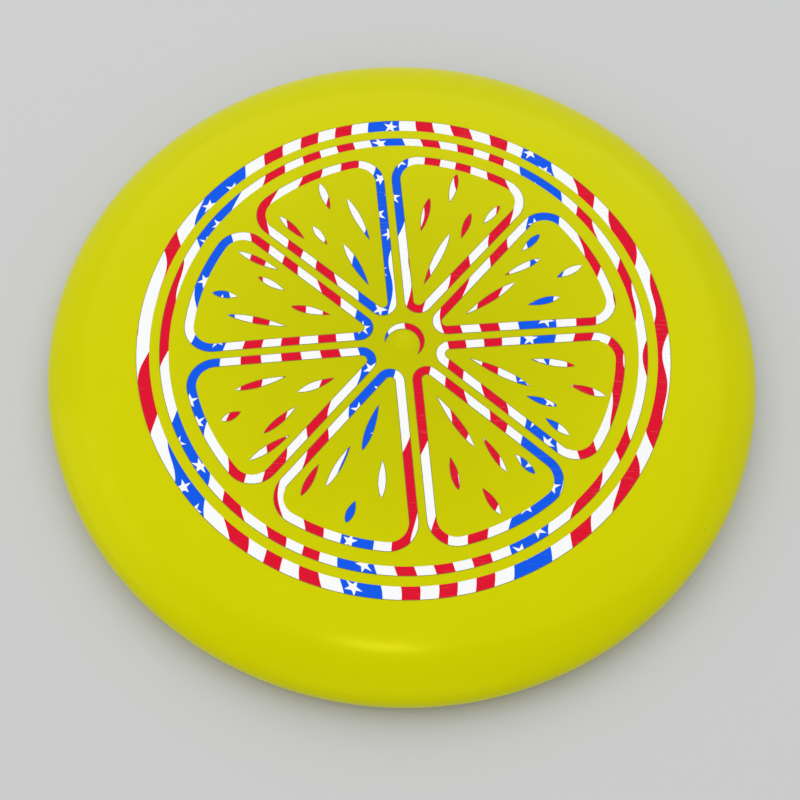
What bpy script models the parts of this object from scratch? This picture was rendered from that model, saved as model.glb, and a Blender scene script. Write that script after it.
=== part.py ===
"""A flying disc for lawn games, in metres, +Z up, standing on its rim with its axis on Z.

The disc is one injection-moulded piece: a slightly domed flight plate that turns down over a
round shoulder into a thick rim, open underneath. A hot-stamped foil citrus wheel lies on the
plate. Each island of foil is a separate piece: two rings, eight segment outlines, the pulp
marks inside them and a crescent round the centre.
"""

import math

import bmesh
import bpy

MM = 0.001

# The moulded disc
DISC_RADIUS = 106.0 * MM
APEX_HEIGHT = 20.0 * MM
DOME_RADIUS = 82.0 * MM  # the plate is a shallow dome out to here, where the shoulder starts
DOME_DROP = 2.0 * MM  # how far the plate falls between its middle and DOME_RADIUS
NOSE_HEIGHT = 8.5 * MM  # the widest point of the rim
PLATE_THICKNESS = 2.2 * MM
RIM_WIDTH = 10.5 * MM
RIM_DRAFT = 0.4 * MM  # the inner wall opens by this much towards the floor
RIM_FOOT_WIDTH = 2.4 * MM  # the flat ring that the disc rests on
RIM_EDGE_ROUND = 0.7 * MM  # between the foot and the inner wall
INNER_FILLET = 2.0 * MM  # between the inner wall and the plate
WING_FULLNESS = 1.75  # exponent of the lower wing: 2 is an ellipse, less is flatter
GATE_NUB_RADIUS = 3.6 * MM
GATE_NUB_HEIGHT = 0.3 * MM
TURN_STEPS = 72

# The foil, drawn as a citrus wheel
FOIL_THICKNESS = 0.2 * MM
FOIL_CLEARANCE = 0.3 * MM
OUTER_RING = (74.9 * MM, 78.8 * MM)
INNER_RING = (69.2 * MM, 72.0 * MM)
SEGMENTS = 8
WHEEL_TURN = math.radians(8.3)  # from +X to the first gap between segments
SEGMENT_RADIUS = 65.2 * MM
SEGMENT_BAND = 2.8 * MM
SEGMENT_GAP = 2.2 * MM
SEGMENT_TIP_ROUND = 4.3 * MM
SEGMENT_CORNER_ROUND = 8.5 * MM
CRESCENT_RADIUS = 5.9 * MM
CRESCENT_THICKNESS = 2.2 * MM
CRESCENT_ENDS = (math.radians(-48), math.radians(190))
CRESCENT_TAPER = 0.75  # exponent of its swell: under 1 keeps it full almost to its points
CRESCENT_STEPS = 14

# The pulp marks of a segment: distance from the centre, degrees off the segment's middle
# line, length and width. Every second segment is the mirror image.
PULP_MARKS = (
    (29.5 * MM, 2.0, 15.5 * MM, 2.5 * MM),
    (44.0 * MM, -9.0, 14.0 * MM, 2.4 * MM),
    (44.0 * MM, 8.0, 11.0 * MM, 2.2 * MM),
    (55.5 * MM, -1.5, 8.5 * MM, 2.5 * MM),
    (51.5 * MM, 14.0, 11.0 * MM, 2.3 * MM),
)
PULP_LEAN = math.radians(7)  # the most that a mark turns away from its radius
PULP_LEAN_PHASE = 1.7  # radians from one mark's lean to the next mark's
PULP_STRETCH = 0.28  # the most that a mark is longer or shorter than its row says
PULP_STRETCH_PHASE = 2.3  # radians from one mark's stretch to the next mark's
PULP_TAPER = 0.65  # exponent of a mark's swell: under 1 rounds its ends
PULP_FAT_END = 1.2  # exponent that moves the widest place outwards
PULP_STEPS = 6  # along each side of a mark

COLLECTION = "flying_disc"


def clear_scene():
    for old in list(bpy.data.objects):
        bpy.data.objects.remove(old)


def make_material(name, colour, roughness, metallic):
    material = bpy.data.materials.new(name)
    material.use_nodes = True
    shader = material.node_tree.nodes["Principled BSDF"]
    shader.inputs["Base Color"].default_value = (*colour, 1.0)
    shader.inputs["Roughness"].default_value = roughness
    shader.inputs["Metallic"].default_value = metallic
    material.diffuse_color = (*colour, 1.0)
    return material


def add_part(name, mesh, material, collection):
    mesh.materials.clear()
    mesh.materials.append(material)
    part = bpy.data.objects.new(name, mesh)
    collection.objects.link(part)
    return part


# --- the disc ---------------------------------------------------------------------------


def crown_height(radius):
    """Height of the disc's upper surface, from the dome's middle to the nose."""
    dome = APEX_HEIGHT - DOME_DROP * (radius / DOME_RADIUS) ** 2
    if radius <= DOME_RADIUS:
        return dome
    dome_at_nose = APEX_HEIGHT - DOME_DROP * (DISC_RADIUS / DOME_RADIUS) ** 2
    across = min((radius - DOME_RADIUS) / (DISC_RADIUS - DOME_RADIUS), 1.0)
    return dome - (dome_at_nose - NOSE_HEIGHT) * (1 - math.sqrt(1 - across**2))


def plate_profile():
    """The top of the plate, from the axis to the shoulder, with the gate nub in its middle."""
    points = []
    for step in range(4):
        radius = GATE_NUB_RADIUS * step / 3
        rise = GATE_NUB_HEIGHT * (1 + math.cos(math.pi * radius / GATE_NUB_RADIUS)) / 2
        points.append((radius, crown_height(radius) + rise))
    for share in (0.25, 0.5, 0.75):
        points.append((DOME_RADIUS * share, crown_height(DOME_RADIUS * share)))
    return points


def shoulder_profile(steps=9):
    """From the edge of the dome over the shoulder to the nose."""
    points = []
    for step in range(steps + 1):
        across = math.sin(math.pi / 2 * step / steps)
        radius = DOME_RADIUS + (DISC_RADIUS - DOME_RADIUS) * across
        points.append((radius, crown_height(radius)))
    return points


def wing_profile(steps=6):
    """The lower wing, from just under the nose to the outer edge of the flat foot."""
    foot_edge = DISC_RADIUS - RIM_WIDTH + RIM_EDGE_ROUND + RIM_FOOT_WIDTH
    points = []
    for step in range(1, steps + 1):
        angle = math.pi / 2 * step / steps
        out = max(math.cos(angle), 0.0) ** (2 / WING_FULLNESS)
        down = math.sin(angle) ** (2 / WING_FULLNESS)
        points.append((foot_edge + (DISC_RADIUS - foot_edge) * out, NOSE_HEIGHT * (1 - down)))
    return points


def inner_profile():
    """Across the foot, up the inner wall, round the fillet and in along the plate's underside."""
    wall_foot = DISC_RADIUS - RIM_WIDTH
    wall_top = wall_foot - RIM_DRAFT
    fillet_radius = wall_top - INNER_FILLET
    ceiling = crown_height(fillet_radius) - PLATE_THICKNESS
    points = []
    for step in range(3):
        angle = math.pi / 2 * step / 2
        points.append(
            (
                wall_foot + RIM_EDGE_ROUND * (1 - math.sin(angle)),
                RIM_EDGE_ROUND * (1 - math.cos(angle)),
            )
        )
    for step in range(4):
        angle = math.pi / 2 * step / 3
        points.append(
            (
                fillet_radius + INNER_FILLET * math.cos(angle),
                ceiling - INNER_FILLET * (1 - math.sin(angle)),
            )
        )
    for share in (1.0, 0.75, 0.5, 0.25, 0.0):
        radius = DOME_RADIUS * share
        points.append((radius, crown_height(radius) - PLATE_THICKNESS))
    return points


def turned_part(name, profile, closed, material, collection):
    """A profile in the XZ plane, turned once round Z."""
    mesh = bpy.data.meshes.new(name)
    edges = [(i, i + 1) for i in range(len(profile) - 1)]
    if closed:
        edges.append((len(profile) - 1, 0))
    mesh.from_pydata([(radius, 0.0, height) for radius, height in profile], edges, [])
    part = add_part(name, mesh, material, collection)
    screw = part.modifiers.new("turn", "SCREW")
    screw.axis = "Z"
    screw.angle = math.tau
    screw.steps = TURN_STEPS
    screw.render_steps = TURN_STEPS
    screw.use_merge_vertices = True
    screw.merge_threshold = 0.00001
    screw.use_smooth_shade = True
    return part


def make_disc(material, collection):
    profile = plate_profile() + shoulder_profile() + wing_profile() + inner_profile()
    return turned_part("disc", profile, False, material, collection)


# --- the foil ---------------------------------------------------------------------------


def make_foil_ring(name, radii, material, collection):
    """A band of foil between two radii, lying on the dome."""
    inner, outer = radii
    low_inner = crown_height(inner) + FOIL_CLEARANCE
    low_outer = crown_height(outer) + FOIL_CLEARANCE
    profile = [
        (inner, low_inner + FOIL_THICKNESS),
        (outer, low_outer + FOIL_THICKNESS),
        (outer, low_outer),
        (inner, low_inner),
    ]
    return turned_part(name, profile, True, material, collection)


def arc(centre, radius, start, end, steps):
    """Points on a circle, from one angle to another."""
    points = []
    for step in range(steps + 1):
        angle = start + (end - start) * step / steps
        points.append((centre[0] + radius * math.cos(angle), centre[1] + radius * math.sin(angle)))
    return points


def between(start, end, steps):
    """The points inside a straight run, without its ends."""
    return [
        (
            start[0] + (end[0] - start[0]) * step / steps,
            start[1] + (end[1] - start[1]) * step / steps,
        )
        for step in range(1, steps)
    ]


def segment_outline(inset):
    """A citrus segment round +X, drawn counter-clockwise, each edge moved in by inset."""
    half = math.pi / SEGMENTS
    side = SEGMENT_GAP / 2
    tip_centre = ((side + SEGMENT_TIP_ROUND) / math.sin(half), 0.0)
    corner_reach = SEGMENT_RADIUS - SEGMENT_CORNER_ROUND
    corner_angle = half - math.asin((side + SEGMENT_CORNER_ROUND) / corner_reach)
    corner = [corner_reach * math.cos(corner_angle), corner_reach * math.sin(corner_angle)]
    tip = SEGMENT_TIP_ROUND - inset
    corner_round = SEGMENT_CORNER_ROUND - inset
    side_angle = half + math.pi / 2
    lower = arc((corner[0], -corner[1]), corner_round, -side_angle, -corner_angle, 5)
    rim = arc((0.0, 0.0), SEGMENT_RADIUS - inset, -corner_angle, corner_angle, 4)
    upper = arc(corner, corner_round, corner_angle, side_angle, 5)
    point = arc(tip_centre, tip, side_angle, math.tau - side_angle, 6)
    outline = lower + rim[1:-1] + upper
    outline += between(upper[-1], point[0], 3) + point + between(point[-1], lower[0], 3)
    return outline


def swell(along, taper):
    """From 0 at either end of a run to 1 in its middle."""
    return max(math.sin(math.pi * along), 0.0) ** taper


def pulp_outline(length, width):
    """A grain along +X, slightly fatter towards its outer end."""
    side = []
    for step in range(PULP_STEPS + 1):
        along = step / PULP_STEPS
        half_width = width / 2 * swell(along**PULP_FAT_END, PULP_TAPER)
        side.append((length * (along - 0.5), half_width))
    under = [(x, -y) for x, y in side[1:-1]]
    return under + side[::-1]


def crescent_outline():
    """A crescent round the axis, thickest in its middle."""
    start, end = CRESCENT_ENDS
    outside = arc((0.0, 0.0), CRESCENT_RADIUS, start, end, CRESCENT_STEPS)
    inside = []
    for step in range(1, CRESCENT_STEPS):
        angle = start + (end - start) * step / CRESCENT_STEPS
        thickness = CRESCENT_THICKNESS * swell(step / CRESCENT_STEPS, CRESCENT_TAPER)
        radius = CRESCENT_RADIUS - thickness
        inside.append((radius * math.cos(angle), radius * math.sin(angle)))
    return outside + inside[::-1]


def turned_outline(outline, angle, centre=(0.0, 0.0)):
    """An outline turned about its own origin, then moved to centre."""
    cos, sin = math.cos(angle), math.sin(angle)
    return [(centre[0] + x * cos - y * sin, centre[1] + x * sin + y * cos) for x, y in outline]


def flat_mesh(name, outlines):
    """A flat sheet FOIL_THICKNESS thick between closed outlines, its caps welded to its edge."""
    curve = bpy.data.curves.new(name, "CURVE")
    curve.dimensions = "2D"
    curve.fill_mode = "BOTH"
    curve.extrude = FOIL_THICKNESS / 2
    for outline in outlines:
        spline = curve.splines.new("POLY")
        spline.points.add(len(outline) - 1)
        for point, (x, y) in zip(spline.points, outline):
            point.co = (x, y, 0.0, 1.0)
        spline.use_cyclic_u = True
    sketch = bpy.data.objects.new(name, curve)
    bpy.context.scene.collection.objects.link(sketch)
    seen = sketch.evaluated_get(bpy.context.evaluated_depsgraph_get())
    mesh = bpy.data.meshes.new_from_object(seen)
    bpy.data.objects.remove(sketch)
    sheet = bmesh.new()
    sheet.from_mesh(mesh)
    bmesh.ops.remove_doubles(sheet, verts=sheet.verts, dist=0.01 * MM)
    sheet.to_mesh(mesh)
    sheet.free()
    return mesh


def make_foil_island(name, outlines, material, collection):
    """A flat sheet laid on the dome, so that it follows the plate at a constant clearance."""
    mesh = flat_mesh(name, outlines)
    for vertex in mesh.vertices:
        radius = math.hypot(vertex.co.x, vertex.co.y)
        vertex.co.z += crown_height(radius) + FOIL_CLEARANCE + FOIL_THICKNESS / 2
    return add_part(name, mesh, material, collection)


def make_segment(number, material, collection):
    middle = WHEEL_TURN + math.tau * (number - 0.5) / SEGMENTS
    outlines = [turned_outline(segment_outline(inset), middle) for inset in (0.0, SEGMENT_BAND)]
    make_foil_island(f"foil_segment_{number}", outlines, material, collection)
    mirror = -1 if number % 2 == 0 else 1
    for mark, (reach, degrees_off, length, width) in enumerate(PULP_MARKS, start=1):
        toward = middle + mirror * math.radians(degrees_off)
        order = len(PULP_MARKS) * (number - 1) + mark
        lean = PULP_LEAN * math.sin(PULP_LEAN_PHASE * order)
        stretch = 1 + PULP_STRETCH * math.sin(PULP_STRETCH_PHASE * order)
        centre = (reach * math.cos(toward), reach * math.sin(toward))
        outline = turned_outline(pulp_outline(length * stretch, width), toward + lean, centre)
        make_foil_island(f"foil_pulp_{number}_{mark}", [outline], material, collection)


clear_scene()
parts = bpy.data.collections.new(COLLECTION)
bpy.context.scene.collection.children.link(parts)

disc_plastic = make_material("disc_plastic", (0.64, 0.64, 0.0), 0.32, 0.0)
stamp_foil = make_material("stamp_foil", (0.88, 0.88, 0.90), 0.25, 0.3)

make_disc(disc_plastic, parts)
make_foil_ring("foil_outer_ring", OUTER_RING, stamp_foil, parts)
make_foil_ring("foil_inner_ring", INNER_RING, stamp_foil, parts)
for segment in range(1, SEGMENTS + 1):
    make_segment(segment, stamp_foil, parts)
make_foil_island("foil_crescent", [crescent_outline()], stamp_foil, parts)
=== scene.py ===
"""A moulded flying disc with a hot-stamped foil citrus wheel, in metres, +Z up, standing on its rim."""

import math

import bpy
from mathutils import Matrix, Vector


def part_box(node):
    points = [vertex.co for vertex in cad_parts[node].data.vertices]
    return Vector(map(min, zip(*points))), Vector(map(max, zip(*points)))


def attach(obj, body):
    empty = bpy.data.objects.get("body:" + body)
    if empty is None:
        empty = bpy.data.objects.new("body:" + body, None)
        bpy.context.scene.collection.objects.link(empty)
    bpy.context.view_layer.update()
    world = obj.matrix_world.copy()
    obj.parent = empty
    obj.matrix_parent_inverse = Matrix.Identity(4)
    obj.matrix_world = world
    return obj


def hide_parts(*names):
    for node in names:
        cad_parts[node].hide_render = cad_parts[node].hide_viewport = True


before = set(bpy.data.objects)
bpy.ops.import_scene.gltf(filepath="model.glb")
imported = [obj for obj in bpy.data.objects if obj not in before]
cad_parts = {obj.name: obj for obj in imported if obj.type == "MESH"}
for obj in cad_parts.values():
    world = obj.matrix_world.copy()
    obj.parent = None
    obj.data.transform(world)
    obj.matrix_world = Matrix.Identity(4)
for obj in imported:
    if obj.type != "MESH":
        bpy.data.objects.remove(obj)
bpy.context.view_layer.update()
MM = 0.001

# --- The disc -----------------------------------------------------------------------------
# One shot of urethane, gated in the middle of the plate: a shallow dome that turns down over a
# round shoulder into a thick rim, open underneath. It leaves the mould with a gate nub on top,
# a fine parting line under the nose and the ring of a mould insert on the plate's underside.

GATE_NUB_HEIGHT = 0.3 * MM
GATE_NUB_RADIUS = 3.6 * MM
DISC_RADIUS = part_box("disc")[1].x
APEX_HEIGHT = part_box("disc")[1].z - GATE_NUB_HEIGHT
DOME_RADIUS = 82.0 * MM
DOME_DROP = 2.0 * MM
NOSE_HEIGHT = 8.5 * MM
PLATE_THICKNESS = 2.2 * MM
RIM_WIDTH = 10.5 * MM
RIM_DRAFT = 0.4 * MM
RIM_FOOT_WIDTH = 2.4 * MM
RIM_EDGE_ROUND = 0.7 * MM
INNER_FILLET = 2.0 * MM
WING_FULLNESS = 1.75
PARTING_LINE = (0.3 * MM, 0.05 * MM)  # width and how far it stands out
INSERT_RING_RADIUS = 14.0 * MM
INSERT_RING = (0.4 * MM, 0.06 * MM)
GATE_SCAR = (0.9 * MM, 0.12 * MM)  # the trimmed stub of the gate: its radius and height
STEPS_ROUND = 256
QUARTER_TURN = math.pi / 2
WELD = 0.001 * MM  # points closer than this are merged, at seams and poles


class Formula:
    """A number on its way through a node tree: arithmetic on it adds Math nodes."""

    def __init__(self, tree, socket):
        self.tree = tree
        self.socket = socket

    def __add__(self, other):
        return maths("ADD", self, other)

    def __radd__(self, other):
        return maths("ADD", other, self)

    def __sub__(self, other):
        return maths("SUBTRACT", self, other)

    def __rsub__(self, other):
        return maths("SUBTRACT", other, self)

    def __mul__(self, other):
        return maths("MULTIPLY", self, other)

    def __rmul__(self, other):
        return maths("MULTIPLY", other, self)

    def __truediv__(self, other):
        return maths("DIVIDE", self, other)

    def __rtruediv__(self, other):
        return maths("DIVIDE", other, self)

    def __pow__(self, other):
        return maths("POWER", self, other)


def feed(tree, value, socket):
    """Gives a socket its value: another socket, a formula or a plain value."""
    if isinstance(value, Formula):
        value = value.socket
    if isinstance(value, bpy.types.NodeSocket):
        tree.links.new(value, socket)
    else:
        socket.default_value = value


def maths(operation, *values, clamp=False):
    """A Math node on these values, at least one of which is a formula."""
    tree = next(value.tree for value in values if isinstance(value, Formula))
    node = tree.nodes.new("ShaderNodeMath")
    node.operation = operation
    node.use_clamp = clamp
    for value, socket in zip(values, node.inputs):
        feed(tree, value, socket)
    return Formula(tree, node.outputs[0])


def sine(angle):
    return maths("SINE", angle)


def cosine(angle):
    return maths("COSINE", angle)


def at_most(value, limit):
    return maths("MINIMUM", value, limit)


def at_least(value, limit):
    return maths("MAXIMUM", value, limit)


def above(value, limit):
    """1 where the value is over the limit, else 0."""
    return maths("GREATER_THAN", value, limit)


def add_node(tree, kind, inputs=None, **settings):
    """A node with its settings, and its inputs by name or number."""
    node = tree.nodes.new(kind)
    for name, value in settings.items():
        setattr(node, name, value)
    for name, value in (inputs or {}).items():
        feed(tree, value, node.inputs[name])
    return node


def new_tree(kind, name, inputs, outputs):
    """A node group with named sockets, and its inputs as formulas. An input is (type, default)."""
    tree = bpy.data.node_groups.new(name, kind)
    for label, (sort, value) in inputs.items():
        socket = tree.interface.new_socket(label, in_out="INPUT", socket_type=f"NodeSocket{sort}")
        if value is not None:
            socket.default_value = value
    for label, sort in outputs.items():
        tree.interface.new_socket(label, in_out="OUTPUT", socket_type=f"NodeSocket{sort}")
    entry = tree.nodes.new("NodeGroupInput")
    return tree, {label: Formula(tree, entry.outputs[label]) for label in inputs}


def close_tree(tree, **results):
    """Wires the group's outputs, whose names have underscores for spaces here."""
    last = tree.nodes.new("NodeGroupOutput")
    for label, value in results.items():
        feed(tree, value, last.inputs[label.replace("_", " ")])


def split_vector(tree, vector):
    """The x, y and z of a vector socket, as formulas."""
    parts = add_node(tree, "ShaderNodeSeparateXYZ", {0: vector}).outputs
    return [Formula(tree, part) for part in parts]


def joined_vector(tree, x, y, z):
    return add_node(tree, "ShaderNodeCombineXYZ", {0: x, 1: y, 2: z}).outputs[0]


def make_crown_group():
    """The height of the disc's upper surface over a point at a distance from the axis."""
    tree, given = new_tree(
        "GeometryNodeTree",
        "crown height",
        {
            "Distance": ("Float", 0.0),
            "Disc radius": ("Float", DISC_RADIUS),
            "Apex height": ("Float", APEX_HEIGHT),
            "Dome radius": ("Float", DOME_RADIUS),
            "Dome drop": ("Float", DOME_DROP),
            "Nose height": ("Float", NOSE_HEIGHT),
        },
        {"Height": "Float"},
    )
    dome_radius = given["Dome radius"]
    dome = given["Apex height"] - given["Dome drop"] * (given["Distance"] / dome_radius) ** 2
    at_nose = given["Apex height"] - given["Dome drop"] * (given["Disc radius"] / dome_radius) ** 2
    across = (given["Distance"] - dome_radius) / (given["Disc radius"] - dome_radius)
    across = at_most(at_least(across, 0.0), 1.0)
    turn_down = 1.0 - maths("SQRT", 1.0 - across * across)
    close_tree(tree, Height=dome - (at_nose - given["Nose height"]) * turn_down)
    return tree


crown_group = make_crown_group()


def crown_height(tree, distance):
    """The crown group, placed in a tree."""
    group = add_node(tree, "GeometryNodeGroup", node_tree=crown_group)
    feed(tree, distance, group.inputs["Distance"])
    return Formula(tree, group.outputs["Height"])


# How many faces each stretch of the profile has, from the axis over the top and back underneath
PROFILE_STRETCHES = {
    "scar": 5,
    "nub": 8,
    "dome": 26,
    "shoulder": 26,
    "nose": 3,
    "parting line": 4,
    "wing": 18,
    "foot": 1,
    "edge": 4,
    "wall": 3,
    "fillet": 8,
    "ceiling": 16,
    "insert ring": 4,
    "middle": 4,
}
NOSE_SHARE = 0.09  # of the lower wing's turn, above the parting line


def make_disc_tree():
    """Turns the disc's profile round Z. Each stretch of the profile adds its own run and rise."""
    tree, given = new_tree(
        "GeometryNodeTree",
        "turned disc",
        {
            "Disc radius": ("Float", DISC_RADIUS),
            "Dome radius": ("Float", DOME_RADIUS),
            "Nose height": ("Float", NOSE_HEIGHT),
            "Plate thickness": ("Float", PLATE_THICKNESS),
            "Rim width": ("Float", RIM_WIDTH),
            "Rim draft": ("Float", RIM_DRAFT),
            "Foot width": ("Float", RIM_FOOT_WIDTH),
            "Edge round": ("Float", RIM_EDGE_ROUND),
            "Inner fillet": ("Float", INNER_FILLET),
            "Wing fullness": ("Float", WING_FULLNESS),
            "Gate nub radius": ("Float", GATE_NUB_RADIUS),
            "Gate nub height": ("Float", GATE_NUB_HEIGHT),
            "Gate scar radius": ("Float", GATE_SCAR[0]),
            "Gate scar height": ("Float", GATE_SCAR[1]),
            "Parting line width": ("Float", PARTING_LINE[0]),
            "Parting line height": ("Float", PARTING_LINE[1]),
            "Insert ring radius": ("Float", INSERT_RING_RADIUS),
            "Insert ring width": ("Float", INSERT_RING[0]),
            "Insert ring height": ("Float", INSERT_RING[1]),
            "Steps round": ("Int", STEPS_ROUND),
            "Material": ("Material", None),
        },
        {"Geometry": "Geometry"},
    )
    count = sum(PROFILE_STRETCHES.values())
    grid = add_node(
        tree,
        "GeometryNodeMeshGrid",
        {"Vertices X": count + 1, "Vertices Y": given["Steps round"] + 1},
    )
    place = add_node(tree, "GeometryNodeInputPosition")
    along, round_axis, _ = split_vector(tree, place.outputs[0])
    station = (along + 0.5) * count
    share = {}
    start = 0
    for stretch, steps in PROFILE_STRETCHES.items():
        share[stretch] = maths("DIVIDE", station - start, steps, clamp=True)
        start += steps
    disc_radius, dome_radius = given["Disc radius"], given["Dome radius"]
    nub_radius, fillet, edge = given["Gate nub radius"], given["Inner fillet"], given["Edge round"]

    scar_radius = given["Gate scar radius"]
    top = scar_radius * share["scar"] + (nub_radius - scar_radius) * share["nub"]
    top = top + (dome_radius - nub_radius) * share["dome"]
    top = top + (disc_radius - dome_radius) * sine(share["shoulder"] * QUARTER_TURN)
    nub = 1.0 + cosine(at_most(top / nub_radius, 1.0) * math.pi)
    height = crown_height(tree, top) + given["Gate nub height"] * nub * 0.5
    scar = 1.0 + cosine(at_most(top / scar_radius, 1.0) * math.pi)
    height = height + given["Gate scar height"] * scar * 0.5

    turned = (share["nose"] * NOSE_SHARE + share["wing"] * (1.0 - NOSE_SHARE)) * QUARTER_TURN
    power = 2.0 / given["Wing fullness"]
    foot_edge = disc_radius - given["Rim width"] + edge + given["Foot width"]
    radius = top - (disc_radius - foot_edge) * (1.0 - at_least(cosine(turned), 0.0) ** power)
    wing_height = given["Nose height"] - given["Parting line width"]
    height = height - wing_height * sine(turned) ** power
    radius = radius + given["Parting line height"] * sine(share["parting line"] * math.pi)
    height = height - given["Parting line width"] * share["parting line"]

    radius = radius - given["Foot width"] * share["foot"]
    radius = radius - edge * sine(share["edge"] * QUARTER_TURN)
    height = height + edge * (1.0 - cosine(share["edge"] * QUARTER_TURN))

    inside = disc_radius - given["Rim width"] - given["Rim draft"] - fillet
    crown_inside = crown_height(tree, inside)
    wall_top = crown_inside - given["Plate thickness"] - fillet
    radius = radius - given["Rim draft"] * share["wall"]
    height = height + (wall_top - edge) * share["wall"]
    radius = radius - fillet * (1.0 - cosine(share["fillet"] * QUARTER_TURN))
    height = height + fillet * sine(share["fillet"] * QUARTER_TURN)

    ring, ring_width = given["Insert ring radius"], given["Insert ring width"]
    under = (inside - ring) * share["ceiling"] + ring_width * share["insert ring"]
    under = under + (ring - ring_width) * share["middle"]
    radius = radius - under
    height = height + crown_height(tree, inside - under) - crown_inside
    height = height - given["Insert ring height"] * sine(share["insert ring"] * math.pi)

    angle = (round_axis + 0.5) * math.tau
    spot = joined_vector(tree, radius * cosine(angle), radius * sine(angle), height)
    body = add_node(tree, "GeometryNodeSetPosition", {"Geometry": grid.outputs[0], "Position": spot})
    body = add_node(
        tree, "GeometryNodeMergeByDistance", {"Geometry": body.outputs[0], "Distance": WELD}
    )
    body = add_node(tree, "GeometryNodeSetShadeSmooth", {"Geometry": body.outputs[0]})
    body = add_node(tree, "GeometryNodeRealizeInstances", {"Geometry": body.outputs[0]})
    body = add_node(
        tree,
        "GeometryNodeSetMaterial",
        {"Geometry": body.outputs[0], "Material": given["Material"]},
    )
    close_tree(tree, Geometry=body.outputs[0])
    return tree


def grow(name, tree, values, start=None):
    """Runs a geometry tree on a start mesh or curve and keeps its result as a plain mesh object."""
    data = start or bpy.data.meshes.new(name)
    seed = bpy.data.objects.new(name + ".seed", data)
    bpy.context.scene.collection.objects.link(seed)
    modifier = seed.modifiers.new(tree.name, "NODES")
    modifier.node_group = tree
    sockets = {item.name: item.identifier for item in tree.interface.items_tree}
    for label, value in values.items():
        modifier[sockets[label]] = value
    seen = seed.evaluated_get(bpy.context.evaluated_depsgraph_get())
    mesh = bpy.data.meshes.new_from_object(seen)
    bpy.data.objects.remove(seed)
    while mesh.materials and mesh.materials[0] is None:
        mesh.materials.pop(index=0)
    mesh.name = name
    piece = bpy.data.objects.new(name, mesh)
    bpy.context.scene.collection.objects.link(piece)
    return piece


def settle(piece, slot, *nodes):
    """The piece is fixed to the one body and stands for these CAD nodes, which it hides; the slot is
    not used.
    """
    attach(piece, "root")
    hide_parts(*nodes)


SCUFF_RUNS = ((0.6, 9.0, 3.0), (2.0, 12.0, 11.0), (2.9, 7.0, 23.0))  # turn, length in mm, seed
SCUFF_WIDTH = 0.2 * MM
SCUFF_LEVEL = 0.70  # of the noise; only its peaks over this are scuffs
PATCH_LEVEL = 0.45  # scuffs keep to the patches over this
DUST_CELLS = 260.0  # to the metre
DUST_SHARE = 0.07  # of the cells, which hold a speck


def make_handling_group():
    """What being moulded, handled and thrown leaves on any surface: fine grain, scuffs, dust."""
    tree, given = new_tree(
        "ShaderNodeTree",
        "handling marks",
        {
            "Place": ("Vector", None),
            "Grain size": ("Float", 0.6 * MM),
            "Scuff amount": ("Float", 0.5),
        },
        {"Grain": "Float", "Scuffs": "Float", "Dust": "Float"},
    )
    place = given["Place"]
    grain = add_node(
        tree,
        "ShaderNodeTexNoise",
        {"Vector": place, "Scale": 1.0 / given["Grain size"], "Detail": 3.0, "Roughness": 0.55},
    )
    scuffs = None
    for turn, length, seed in SCUFF_RUNS:
        turned = add_node(
            tree,
            "ShaderNodeMapping",
            {
                "Vector": place,
                "Location": (seed, seed, seed),
                "Rotation": (0.0, 0.0, turn),
                "Scale": (1.0 / (length * MM), 1.0 / SCUFF_WIDTH, 1.0 / (length * MM)),
            },
        )
        lines = add_node(
            tree,
            "ShaderNodeTexNoise",
            {"Vector": turned.outputs[0], "Scale": 1.0, "Detail": 1.0},
        )
        lines = at_least(Formula(tree, lines.outputs[0]) - SCUFF_LEVEL, 0.0) * 12.0
        scuffs = lines if scuffs is None else maths("MAXIMUM", scuffs, lines)
    patches = add_node(
        tree, "ShaderNodeTexNoise", {"Vector": place, "Scale": 22.0, "Detail": 2.0}
    )
    patches = maths("MULTIPLY", Formula(tree, patches.outputs[0]) - PATCH_LEVEL, 5.0, clamp=True)
    dust = add_node(tree, "ShaderNodeTexVoronoi", {"Vector": place, "Scale": DUST_CELLS})
    speck_size = add_node(tree, "ShaderNodeSeparateColor", {0: dust.outputs["Color"]})
    speck_size = (Formula(tree, speck_size.outputs[0]) - (1.0 - DUST_SHARE)) * 0.9
    specks = above(speck_size, Formula(tree, dust.outputs["Distance"]))
    scuffs = maths("MULTIPLY", scuffs * patches, given["Scuff amount"], clamp=True)
    close_tree(tree, Grain=grain.outputs[0], Scuffs=scuffs, Dust=specks)
    return tree


handling_group = make_handling_group()


def new_material(name):
    """An empty material, and its tree, Principled BSDF and object coordinates."""
    material = bpy.data.materials.new(name)
    material.use_nodes = True
    tree = material.node_tree
    shader = tree.nodes["Principled BSDF"]
    place = add_node(tree, "ShaderNodeTexCoord").outputs["Object"]
    return material, tree, shader, place


def mixed_colour(tree, share, first, second):
    """From the first colour at 0 to the second at 1."""
    node = add_node(tree, "ShaderNodeMix", data_type="RGBA", clamp_factor=True)
    feed(tree, share, node.inputs["Factor"])
    colours = [socket for socket in node.inputs if socket.type == "RGBA"]
    feed(tree, first, colours[0])
    feed(tree, second, colours[1])
    return next(socket for socket in node.outputs if socket.type == "RGBA")


def bumped(tree, height, strength, distance):
    node = add_node(
        tree,
        "ShaderNodeBump",
        {"Height": height, "Strength": strength, "Distance": distance},
    )
    return node.outputs[0]


# Two tints each, which the flow from the gate mixes; the plate's pair is darker than the rim's, as
# painted shade
RIM_TINTS = ((0.593, 0.585, 0.0, 1.0), (0.623, 0.611, 0.0, 1.0))
PLATE_SHADED_TINTS = ((0.497, 0.491, 0.0, 1.0), (0.523, 0.515, 0.0, 1.0))
DUST_TINT = (0.20, 0.19, 0.02, 1.0)
GLOSS_TINT = (1.0, 0.98, 0.06, 1.0)
LIGHT_DEPTH = 2.0 * MM  # how far light gets into the plastic


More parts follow.
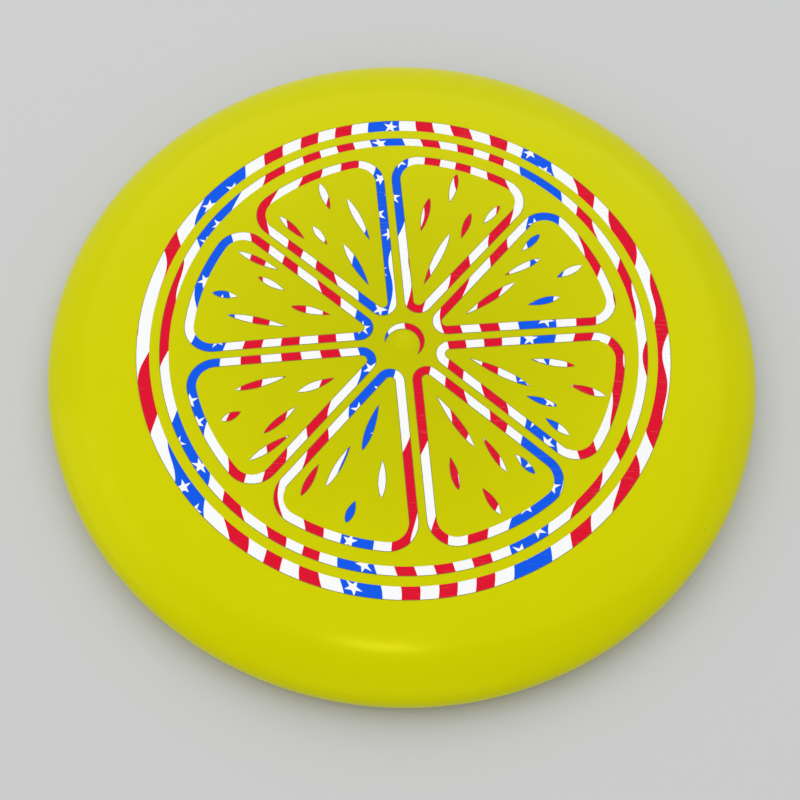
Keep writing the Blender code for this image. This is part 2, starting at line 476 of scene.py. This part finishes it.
def make_plastic():
    """Chartreuse urethane: glossy, a little translucent, with faint flow from the gate, painted shade
    on the thin plate and a painted highlight on the gate nub.
    """
    material, tree, shader, place = new_material("chartreuse_urethane")
    marks = add_node(
        tree,
        "ShaderNodeGroup",
        {"Place": place, "Grain size": 0.7 * MM, "Scuff amount": 0.6},
        node_tree=handling_group,
    )
    x, y, _ = split_vector(tree, place)
    distance = maths("SQRT", x * x + y * y)
    wander = add_node(
        tree, "ShaderNodeTexNoise", {"Vector": place, "Scale": 14.0, "Detail": 3.0}
    )
    flow = add_node(
        tree,
        "ShaderNodeTexNoise",
        {
            "Vector": joined_vector(
                tree,
                maths("ARCTAN2", y, x) * 1.6,
                distance * 9.0,
                Formula(tree, wander.outputs[0]) * 1.2,
            ),
            "Scale": 2.0,
            "Detail": 2.0,
        },
    )
    rim_tint = mixed_colour(tree, flow.outputs[0], *RIM_TINTS)
    plate_shaded_tint = mixed_colour(tree, flow.outputs[0], *PLATE_SHADED_TINTS)
    # Painted shade: the thin plate is tinted darker than the rim, for the light that leaks down through
    # it, and the gate nub gets a painted highlight half way to the rim's tint
    painted_light_share = at_most(distance / DOME_RADIUS, 1.0) ** 1.5
    # painted highlight on the gate nub
    nub = maths("SUBTRACT", 1.0, distance / GATE_NUB_RADIUS, clamp=True) ** 0.5
    painted_light_share = at_least(painted_light_share, nub * 0.5)
    tint = mixed_colour(tree, painted_light_share, plate_shaded_tint, rim_tint)
    tint = mixed_colour(tree, Formula(tree, marks.outputs["Dust"]) * 0.5, tint, DUST_TINT)
    feed(tree, tint, shader.inputs["Base Color"])
    grain = Formula(tree, marks.outputs["Grain"])
    scuffs = Formula(tree, marks.outputs["Scuffs"])
    feed(tree, 0.15 + 0.05 * grain + 0.15 * scuffs, shader.inputs["Roughness"])
    feed(tree, bumped(tree, grain - scuffs * 0.5, 0.06, 0.03 * MM), shader.inputs["Normal"])
    shader.inputs["Specular IOR Level"].default_value = 0.36
    shader.inputs["Specular Tint"].default_value = GLOSS_TINT
    shader.inputs["Subsurface Weight"].default_value = 0.2
    shader.inputs["Subsurface Radius"].default_value = (1.0, 1.0, 0.2)
    shader.inputs["Subsurface Scale"].default_value = LIGHT_DEPTH
    return material


plastic = make_plastic()
disc = grow("moulded_disc", make_disc_tree(), {"Material": plastic})
settle(disc, "disc_plastic", "disc")

# --- The foil rings -----------------------------------------------------------------------
# Two closed bands of hot-stamping foil, the peel of the citrus wheel. The film is printed in
# stripes and stars, pressed on hot, and stands a hair above the plate; its cut edge is painted
# dark olive, as the shade along the film's edge.

FILM_THICKNESS = 0.05 * MM
FILM_LIFT = 0.005 * MM  # the adhesive under the film
FILM_EDGE = 0.15 * MM  # how far the cut edge slopes in
OUTER_BAND = 3.9 * MM
INNER_BAND = 2.8 * MM
RING_STEPS = 360
CORNERS = 4  # of a film's section: 0 and 3 lie under it, 1 and 2 on top


def make_film_tree():
    """A strip of film along a path, tapered or not, laid on the disc's crown."""
    tree, given = new_tree(
        "GeometryNodeTree",
        "film along a path",
        {
            "Path": ("Geometry", None),
            "Width": ("Float", OUTER_BAND),
            "Taper": ("Float", 0.0),
            "Fat end": ("Float", 1.0),
            "Thickness": ("Float", FILM_THICKNESS),
            "Lift": ("Float", FILM_LIFT),
            "Edge": ("Float", FILM_EDGE),
            "Steps": ("Int", RING_STEPS),
            "Print": ("Material", None),
            "Cut edge": ("Material", None),
        },
        {"Geometry": "Geometry"},
    )
    path = add_node(tree, "GeometryNodeMeshToCurve", {"Mesh": given["Path"]})
    strip = add_node(
        tree,
        "GeometryNodeMeshGrid",
        {"Vertices X": given["Steps"] + 1, "Vertices Y": CORNERS + 1},
    )
    place = add_node(tree, "GeometryNodeInputPosition")
    along, across, _ = split_vector(tree, place.outputs[0])
    along = maths("ADD", along, 0.5, clamp=True)
    corner = maths("MODULO", maths("ROUND", (across + 0.5) * CORNERS), CORNERS)
    side = 1.0 - above(corner, 1.5) * 2.0
    raised = above(1.0, maths("ABSOLUTE", corner - 1.5))
    spot = add_node(
        tree,
        "GeometryNodeSampleCurve",
        {"Curves": path.outputs[0], "Factor": along},
        mode="FACTOR",
        use_all_curves=True,
    )
    path_x, path_y, _ = split_vector(tree, spot.outputs["Position"])
    ahead_x, ahead_y, _ = split_vector(tree, spot.outputs["Tangent"])
    swell = at_least(sine(along ** given["Fat end"] * math.pi), 0.0) ** given["Taper"]
    half = at_least(given["Width"] * 0.5 * swell - given["Edge"] * raised, 0.0)
    x = path_x + side * half * ahead_y
    y = path_y - side * half * ahead_x
    crown = crown_height(tree, maths("SQRT", x * x + y * y))
    z = crown + given["Lift"] + given["Thickness"] * raised
    film = add_node(
        tree,
        "GeometryNodeSetPosition",
        {"Geometry": strip.outputs[0], "Position": joined_vector(tree, x, y, z)},
    )
    film = add_node(
        tree, "GeometryNodeMergeByDistance", {"Geometry": film.outputs[0], "Distance": WELD}
    )
    film = add_node(
        tree, "GeometryNodeSetShadeSmooth", {"Geometry": film.outputs[0], "Shade Smooth": False}
    )
    film = add_node(tree, "GeometryNodeRealizeInstances", {"Geometry": film.outputs[0]})
    film = add_node(
        tree,
        "GeometryNodeSetMaterial",
        {"Geometry": film.outputs[0], "Material": given["Cut edge"]},
    )
    normal = add_node(tree, "GeometryNodeInputNormal")
    upright = split_vector(tree, normal.outputs[0])[2]
    film = add_node(
        tree,
        "GeometryNodeSetMaterial",
        {
            "Geometry": film.outputs[0],
            "Selection": above(upright, 0.95),
            "Material": given["Print"],
        },
    )
    close_tree(tree, Geometry=film.outputs[0])
    return tree


film_tree = make_film_tree()

STRIPE = 5.5 * MM
STAR_BAND = 10.5 * MM
STRIPES_BETWEEN = 7
PRINT_SHIFT = 9.3 * MM
STAR_RADIUS = 2.5 * MM
STAR_PITCH = 6.6 * MM
STAR_STAGGER = 2.4 * MM
STAR_TURN = 0.9  # radians from one row's stars to the next row's
STAR_NOTCH = 0.382  # how far out the notches between the arms lie, of the radius
# How far the stripes sway, over what length along y they do it, and how much that slants with x
WAVE = (1.5 * MM, 11.0 * MM, 30.0 * MM)
RIPPLE = (1.1 * MM, 3.8 * MM, -14.0 * MM)


def make_print_group():
    """Red and white stripes with bands of white stars on blue between them, gently waved."""
    tree, given = new_tree(
        "ShaderNodeTree",
        "stripes and stars",
        {
            "Place": ("Vector", None),
            "White": ("Color", (0.825, 0.825, 0.815, 1.0)),
            "Red": ("Color", (0.63, 0.001, 0.020, 1.0)),
            "Blue": ("Color", (0.0, 0.084, 0.70, 1.0)),
        },
        {"Colour": "Color"},
    )
    x, y, _ = split_vector(tree, given["Place"])
    swayed = x
    for sway, length, slant in (WAVE, RIPPLE):
        swayed = swayed + sine(y / length + x / slant) * sway
    repeat = STAR_BAND + STRIPES_BETWEEN * STRIPE
    over = maths("FLOORED_MODULO", swayed + PRINT_SHIFT + STAR_BAND / 2, repeat)
    stripe = maths("FLOOR", (over - STAR_BAND) / STRIPE)
    red = maths("FLOORED_MODULO", stripe, 2.0)
    blue = above(STAR_BAND, over)

    row = maths("FLOOR", y / STAR_PITCH)
    stagger = (maths("FLOORED_MODULO", row, 2.0) * 2.0 - 1.0) * STAR_STAGGER
    star_x = over - STAR_BAND / 2 - stagger
    star_y = y - (row + 0.5) * STAR_PITCH
    reach = maths("SQRT", star_x * star_x + star_y * star_y)
    fifth = math.tau / 5
    heading = maths("ARCTAN2", star_x, star_y) + row * STAR_TURN
    angle = maths("FLOORED_MODULO", heading + fifth / 2, fifth)
    angle = maths("ABSOLUTE", angle - fifth / 2)
    # Each arm's flank runs from its point to the notch beside it
    notch_x = STAR_NOTCH * math.cos(fifth / 2)
    notch_y = STAR_NOTCH * math.sin(fifth / 2)
    flank = reach * (cosine(angle) * notch_y + sine(angle) * (1.0 - notch_x))
    star = above(STAR_RADIUS * notch_y, flank)

    striped = mixed_colour(tree, red, given["White"], given["Red"])
    starred = mixed_colour(tree, star, given["Blue"], given["White"])
    close_tree(tree, Colour=mixed_colour(tree, blue, striped, starred))
    return tree


print_group = make_print_group()


WORN_TINT = (0.5, 0.5, 0.3, 1.0)
# Painted shade: the film's cut edge is coloured as the plastic looks in the shadow along it
EDGE_SHADE_TINTS = ((0.06, 0.065, 0.004, 1.0), (0.15, 0.155, 0.010, 1.0))


def make_print():
    """Lacquered, pigmented foil: flat colour under a gloss, a little worn by handling."""
    material, tree, shader, place = new_material("printed_foil")
    pattern = add_node(tree, "ShaderNodeGroup", {"Place": place}, node_tree=print_group)
    marks = add_node(
        tree,
        "ShaderNodeGroup",
        {"Place": place, "Grain size": 1.5 * MM, "Scuff amount": 0.8},
        node_tree=handling_group,
    )
    scuffs = Formula(tree, marks.outputs["Scuffs"])
    grain = Formula(tree, marks.outputs["Grain"])
    worn = mixed_colour(tree, scuffs * 0.25, pattern.outputs[0], WORN_TINT)
    feed(tree, worn, shader.inputs["Base Color"])
    feed(tree, 0.26 + 0.03 * grain + 0.2 * scuffs, shader.inputs["Roughness"])
    feed(tree, bumped(tree, grain * 0.3 - scuffs, 0.02, 0.02 * MM), shader.inputs["Normal"])
    shader.inputs["Metallic"].default_value = 0.3
    shader.inputs["Specular IOR Level"].default_value = 0.1
    return material


def make_edge_shade():
    """The film's cut edge, coloured dark olive as painted shade: the shadow along the film's edge."""
    material, tree, shader, place = new_material("foil_edge_shade")
    mottle = add_node(
        tree, "ShaderNodeTexNoise", {"Vector": place, "Scale": 900.0, "Detail": 2.0}
    )
    feed(tree, mixed_colour(tree, mottle.outputs[0], *EDGE_SHADE_TINTS), shader.inputs["Base Color"])
    shader.inputs["Roughness"].default_value = 0.55
    return material


printed_foil = make_print()
edge_shade = make_edge_shade()


def path_mesh(name, points, closed):
    """A path as a chain of edges."""
    edges = [(i, i + 1) for i in range(len(points) - 1)]
    if closed:
        edges.append((len(points) - 1, 0))
    mesh = bpy.data.meshes.new(name)
    mesh.from_pydata([(x, y, 0.0) for x, y in points], edges, [])
    return mesh


def lay_film(node, points, closed, width, steps, taper=0.0, fat_end=1.0):
    """Lays one island of film along a path, in the place of a CAD node of that name."""
    film = grow(
        node.replace("foil", "film", 1),
        film_tree,
        {
            "Width": width,
            "Taper": taper,
            "Fat end": fat_end,
            "Steps": steps,
            "Print": printed_foil,
            "Cut edge": edge_shade,
        },
        path_mesh(node, points, closed),
    )
    settle(film, "stamp_foil", node)


def arc(centre, radius, start, end, steps):
    """Points on a circle, from one angle to another."""
    points = []
    for step in range(steps + 1):
        angle = start + (end - start) * step / steps
        points.append((centre[0] + radius * math.cos(angle), centre[1] + radius * math.sin(angle)))
    return points


for ring, band in (("foil_outer_ring", OUTER_BAND), ("foil_inner_ring", INNER_BAND)):
    middle_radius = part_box(ring)[1].x - band / 2
    circle = arc((0.0, 0.0), middle_radius, 0.0, math.tau, RING_STEPS)[:-1]
    lay_film(ring, circle, True, band, RING_STEPS)

# --- The segment outlines -----------------------------------------------------------------
# Eight closed bands, one round each citrus segment: a round tip near the middle, two straight
# sides a constant gap from the neighbours' and an outer edge with two large round corners.

SEGMENTS = 8
WHEEL_TURN = math.radians(8.3)
SEGMENT_RADIUS = 65.2 * MM
SEGMENT_BAND = 2.8 * MM
SEGMENT_GAP = 2.2 * MM
SEGMENT_TIP_ROUND = 4.3 * MM
SEGMENT_CORNER_ROUND = 8.5 * MM
SEGMENT_STEPS = 240
ARC_STEPS = 24


def turned(points, angle, centre=(0.0, 0.0)):
    """Points turned about their own origin, then moved to centre."""
    cos, sin = math.cos(angle), math.sin(angle)
    return [(centre[0] + x * cos - y * sin, centre[1] + x * sin + y * cos) for x, y in points]


def segment_path():
    """The middle line of a segment's band, round +X, counter-clockwise."""
    inset = SEGMENT_BAND / 2
    half = math.pi / SEGMENTS
    side = SEGMENT_GAP / 2
    tip_centre = ((side + SEGMENT_TIP_ROUND) / math.sin(half), 0.0)
    corner_reach = SEGMENT_RADIUS - SEGMENT_CORNER_ROUND
    corner_angle = half - math.asin((side + SEGMENT_CORNER_ROUND) / corner_reach)
    corner_x = corner_reach * math.cos(corner_angle)
    corner_y = corner_reach * math.sin(corner_angle)
    corner_round = SEGMENT_CORNER_ROUND - inset
    side_angle = half + math.pi / 2
    path = arc((corner_x, -corner_y), corner_round, -side_angle, -corner_angle, ARC_STEPS)
    rim = arc((0.0, 0.0), SEGMENT_RADIUS - inset, -corner_angle, corner_angle, ARC_STEPS)
    path += rim[1:-1]
    path += arc((corner_x, corner_y), corner_round, corner_angle, side_angle, ARC_STEPS)
    tip_end = math.tau - side_angle
    path += arc(tip_centre, SEGMENT_TIP_ROUND - inset, side_angle, tip_end, ARC_STEPS)
    return path


for number in range(1, SEGMENTS + 1):
    middle = WHEEL_TURN + math.tau * (number - 0.5) / SEGMENTS
    path = turned(segment_path(), middle)
    lay_film(f"foil_segment_{number}", path, True, SEGMENT_BAND, SEGMENT_STEPS)

# --- The pulp marks -----------------------------------------------------------------------
# Five slim grains of film inside each segment, tapered at both ends and lying nearly along
# the radius, no two alike. Every second segment's layout is the mirror image of its neighbour's.

# Distance from the centre, degrees off the segment's middle line, length and width
PULP_MARKS = (
    (29.5 * MM, 2.0, 15.5 * MM, 2.5 * MM),
    (44.0 * MM, -9.0, 14.0 * MM, 2.4 * MM),
    (44.0 * MM, 8.0, 11.0 * MM, 2.2 * MM),
    (55.5 * MM, -1.5, 8.5 * MM, 2.5 * MM),
    (51.5 * MM, 14.0, 11.0 * MM, 2.3 * MM),
)
PULP_LEAN = math.radians(7)
PULP_LEAN_PHASE = 1.7
PULP_STRETCH = 0.28
PULP_STRETCH_PHASE = 2.3
PULP_TAPER = 0.65
PULP_FAT_END = 1.2
PULP_STEPS = 32

for number in range(1, SEGMENTS + 1):
    middle = WHEEL_TURN + math.tau * (number - 0.5) / SEGMENTS
    mirror = -1 if number % 2 == 0 else 1
    for mark, (reach, degrees_off, length, width) in enumerate(PULP_MARKS, start=1):
        toward = middle + mirror * math.radians(degrees_off)
        order = len(PULP_MARKS) * (number - 1) + mark
        lean = PULP_LEAN * math.sin(PULP_LEAN_PHASE * order)
        half = length / 2 * (1 + PULP_STRETCH * math.sin(PULP_STRETCH_PHASE * order))
        centre = (reach * math.cos(toward), reach * math.sin(toward))
        path = turned([(-half, 0.0), (half, 0.0)], toward + lean, centre)
        node = f"foil_pulp_{number}_{mark}"
        lay_film(node, path, False, width, PULP_STEPS, PULP_TAPER, PULP_FAT_END)

# --- The crescent -------------------------------------------------------------------------
# A thin new moon of film round the gate nub, the core of the citrus wheel. Its outer edge is a
# circle, and it swells quickly from a point at each end to its full width.

CRESCENT_RADIUS = 5.9 * MM
CRESCENT_THICKNESS = 2.2 * MM
CRESCENT_ENDS = (math.radians(-48), math.radians(190))
CRESCENT_TAPER = 0.75
CRESCENT_STEPS = 56

crescent = []
start, end = CRESCENT_ENDS
for step in range(CRESCENT_STEPS + 1):
    share = step / CRESCENT_STEPS
    angle = start + (end - start) * share
    swell = max(math.sin(math.pi * share), 0.0) ** CRESCENT_TAPER
    radius = CRESCENT_RADIUS - CRESCENT_THICKNESS / 2 * swell
    crescent.append((radius * math.cos(angle), radius * math.sin(angle)))
lay_film(
    "foil_crescent", crescent, False, CRESCENT_THICKNESS, CRESCENT_STEPS, CRESCENT_TAPER
)

# --- The studio ---------------------------------------------------------------------------
# A pale matt table under a broad overhead softbox, with soft light from all round. The table
# can't be seen from below, and it has an opening under the disc, to the edge of the foot, so that
# the disc's underside shows there and is lit.

TABLE_RADIUS = 3.4
TABLE_SIDES = 256
TABLE_OVERLAP = 0.1 * MM  # of the foot, round the opening
TABLE_TINT = (0.58, 0.58, 0.57, 1.0)
# Where each softbox is, what it is aimed at, its width and length, and its power in watts
SOFTBOXES = {
    "overhead_panel": ((0.0, 1.3, 1.8), (0.0, 1.3, 0.0), (3.4, 3.3), 31.0),
    "left_softbox": ((-1.7, -0.3, 1.2), (0.0, 0.0, 0.0), (1.6, 1.6), 6.0),
    "front_softbox": ((0.0, -1.8, 1.2), (0.0, 0.0, 0.0), (1.8, 1.2), 4.0),
    "overhead_strip": ((-0.02, -0.33, 1.8), (0.0, 0.0, 0.0), (0.25, 0.06), 1.1),
}
ROOM_TINT = (0.95, 0.97, 1.0, 1.0)
ROOM_STRENGTH = 0.58
CAMERA_PLACE = (0.0, -205.76 * MM, 425.88 * MM)
CAMERA_AIM = (-0.30 * MM, -15.61 * MM, 12.0 * MM)
CAMERA_ROLL = math.radians(3.357)
CAMERA_LENS = 69.59  # mm, on a sensor 36 mm wide


def make_table():
    """A flat round sheet with an opening in the middle, seen only from above."""
    material, tree, shader, _ = new_material("pale_table")
    shader.inputs["Base Color"].default_value = TABLE_TINT
    shader.inputs["Roughness"].default_value = 0.9
    behind = add_node(tree, "ShaderNodeNewGeometry").outputs["Backfacing"]
    clear = add_node(tree, "ShaderNodeBsdfTransparent").outputs[0]
    shown = add_node(tree, "ShaderNodeMixShader", {0: behind, 1: shader.outputs[0], 2: clear})
    feed(tree, shown.outputs[0], tree.nodes["Material Output"].inputs["Surface"])
    foot = DISC_RADIUS - RIM_WIDTH + RIM_EDGE_ROUND + RIM_FOOT_WIDTH - TABLE_OVERLAP
    corners = []
    faces = []
    for side in range(TABLE_SIDES):
        angle = math.tau * side / TABLE_SIDES
        following = (side + 1) % TABLE_SIDES
        for radius in (foot, TABLE_RADIUS):
            corners.append((radius * math.cos(angle), radius * math.sin(angle), 0.0))
        faces.append((2 * side, 2 * side + 1, 2 * following + 1, 2 * following))
    mesh = bpy.data.meshes.new("table")
    mesh.from_pydata(corners, [], faces)
    mesh.materials.append(material)
    table = bpy.data.objects.new("table", mesh)
    bpy.context.scene.collection.objects.link(table)


def add_softbox(name, place, aim, size, watts):
    light = bpy.data.lights.new(name, "AREA")
    light.shape = "RECTANGLE"
    light.size, light.size_y = size
    light.energy = watts
    softbox = bpy.data.objects.new(name, light)
    bpy.context.scene.collection.objects.link(softbox)
    softbox.location = place
    softbox.rotation_euler = (Vector(aim) - Vector(place)).to_track_quat("-Z", "Y").to_euler()


def add_camera():
    """Looks down on the disc from the front, a little rolled."""
    data = bpy.data.cameras.new("camera")
    data.sensor_width = 36.0
    data.lens = CAMERA_LENS
    camera = bpy.data.objects.new("camera", data)
    bpy.context.scene.collection.objects.link(camera)
    place = Vector(CAMERA_PLACE)
    look = (Vector(CAMERA_AIM) - place).to_track_quat("-Z", "Y").to_matrix().to_4x4()
    roll = Matrix.Rotation(CAMERA_ROLL, 4, "Z")
    camera.matrix_world = Matrix.Translation(place) @ look @ roll
    bpy.context.scene.camera = camera


make_table()
for name, (place, aim, size, watts) in SOFTBOXES.items():
    add_softbox(name, place, aim, size, watts)
world = bpy.data.worlds.new("room")
bpy.context.scene.world = world
world.use_nodes = True
background = world.node_tree.nodes["Background"]
background.inputs["Color"].default_value = ROOM_TINT
background.inputs["Strength"].default_value = ROOM_STRENGTH
bpy.context.scene.view_settings.view_transform = "Standard"
add_camera()
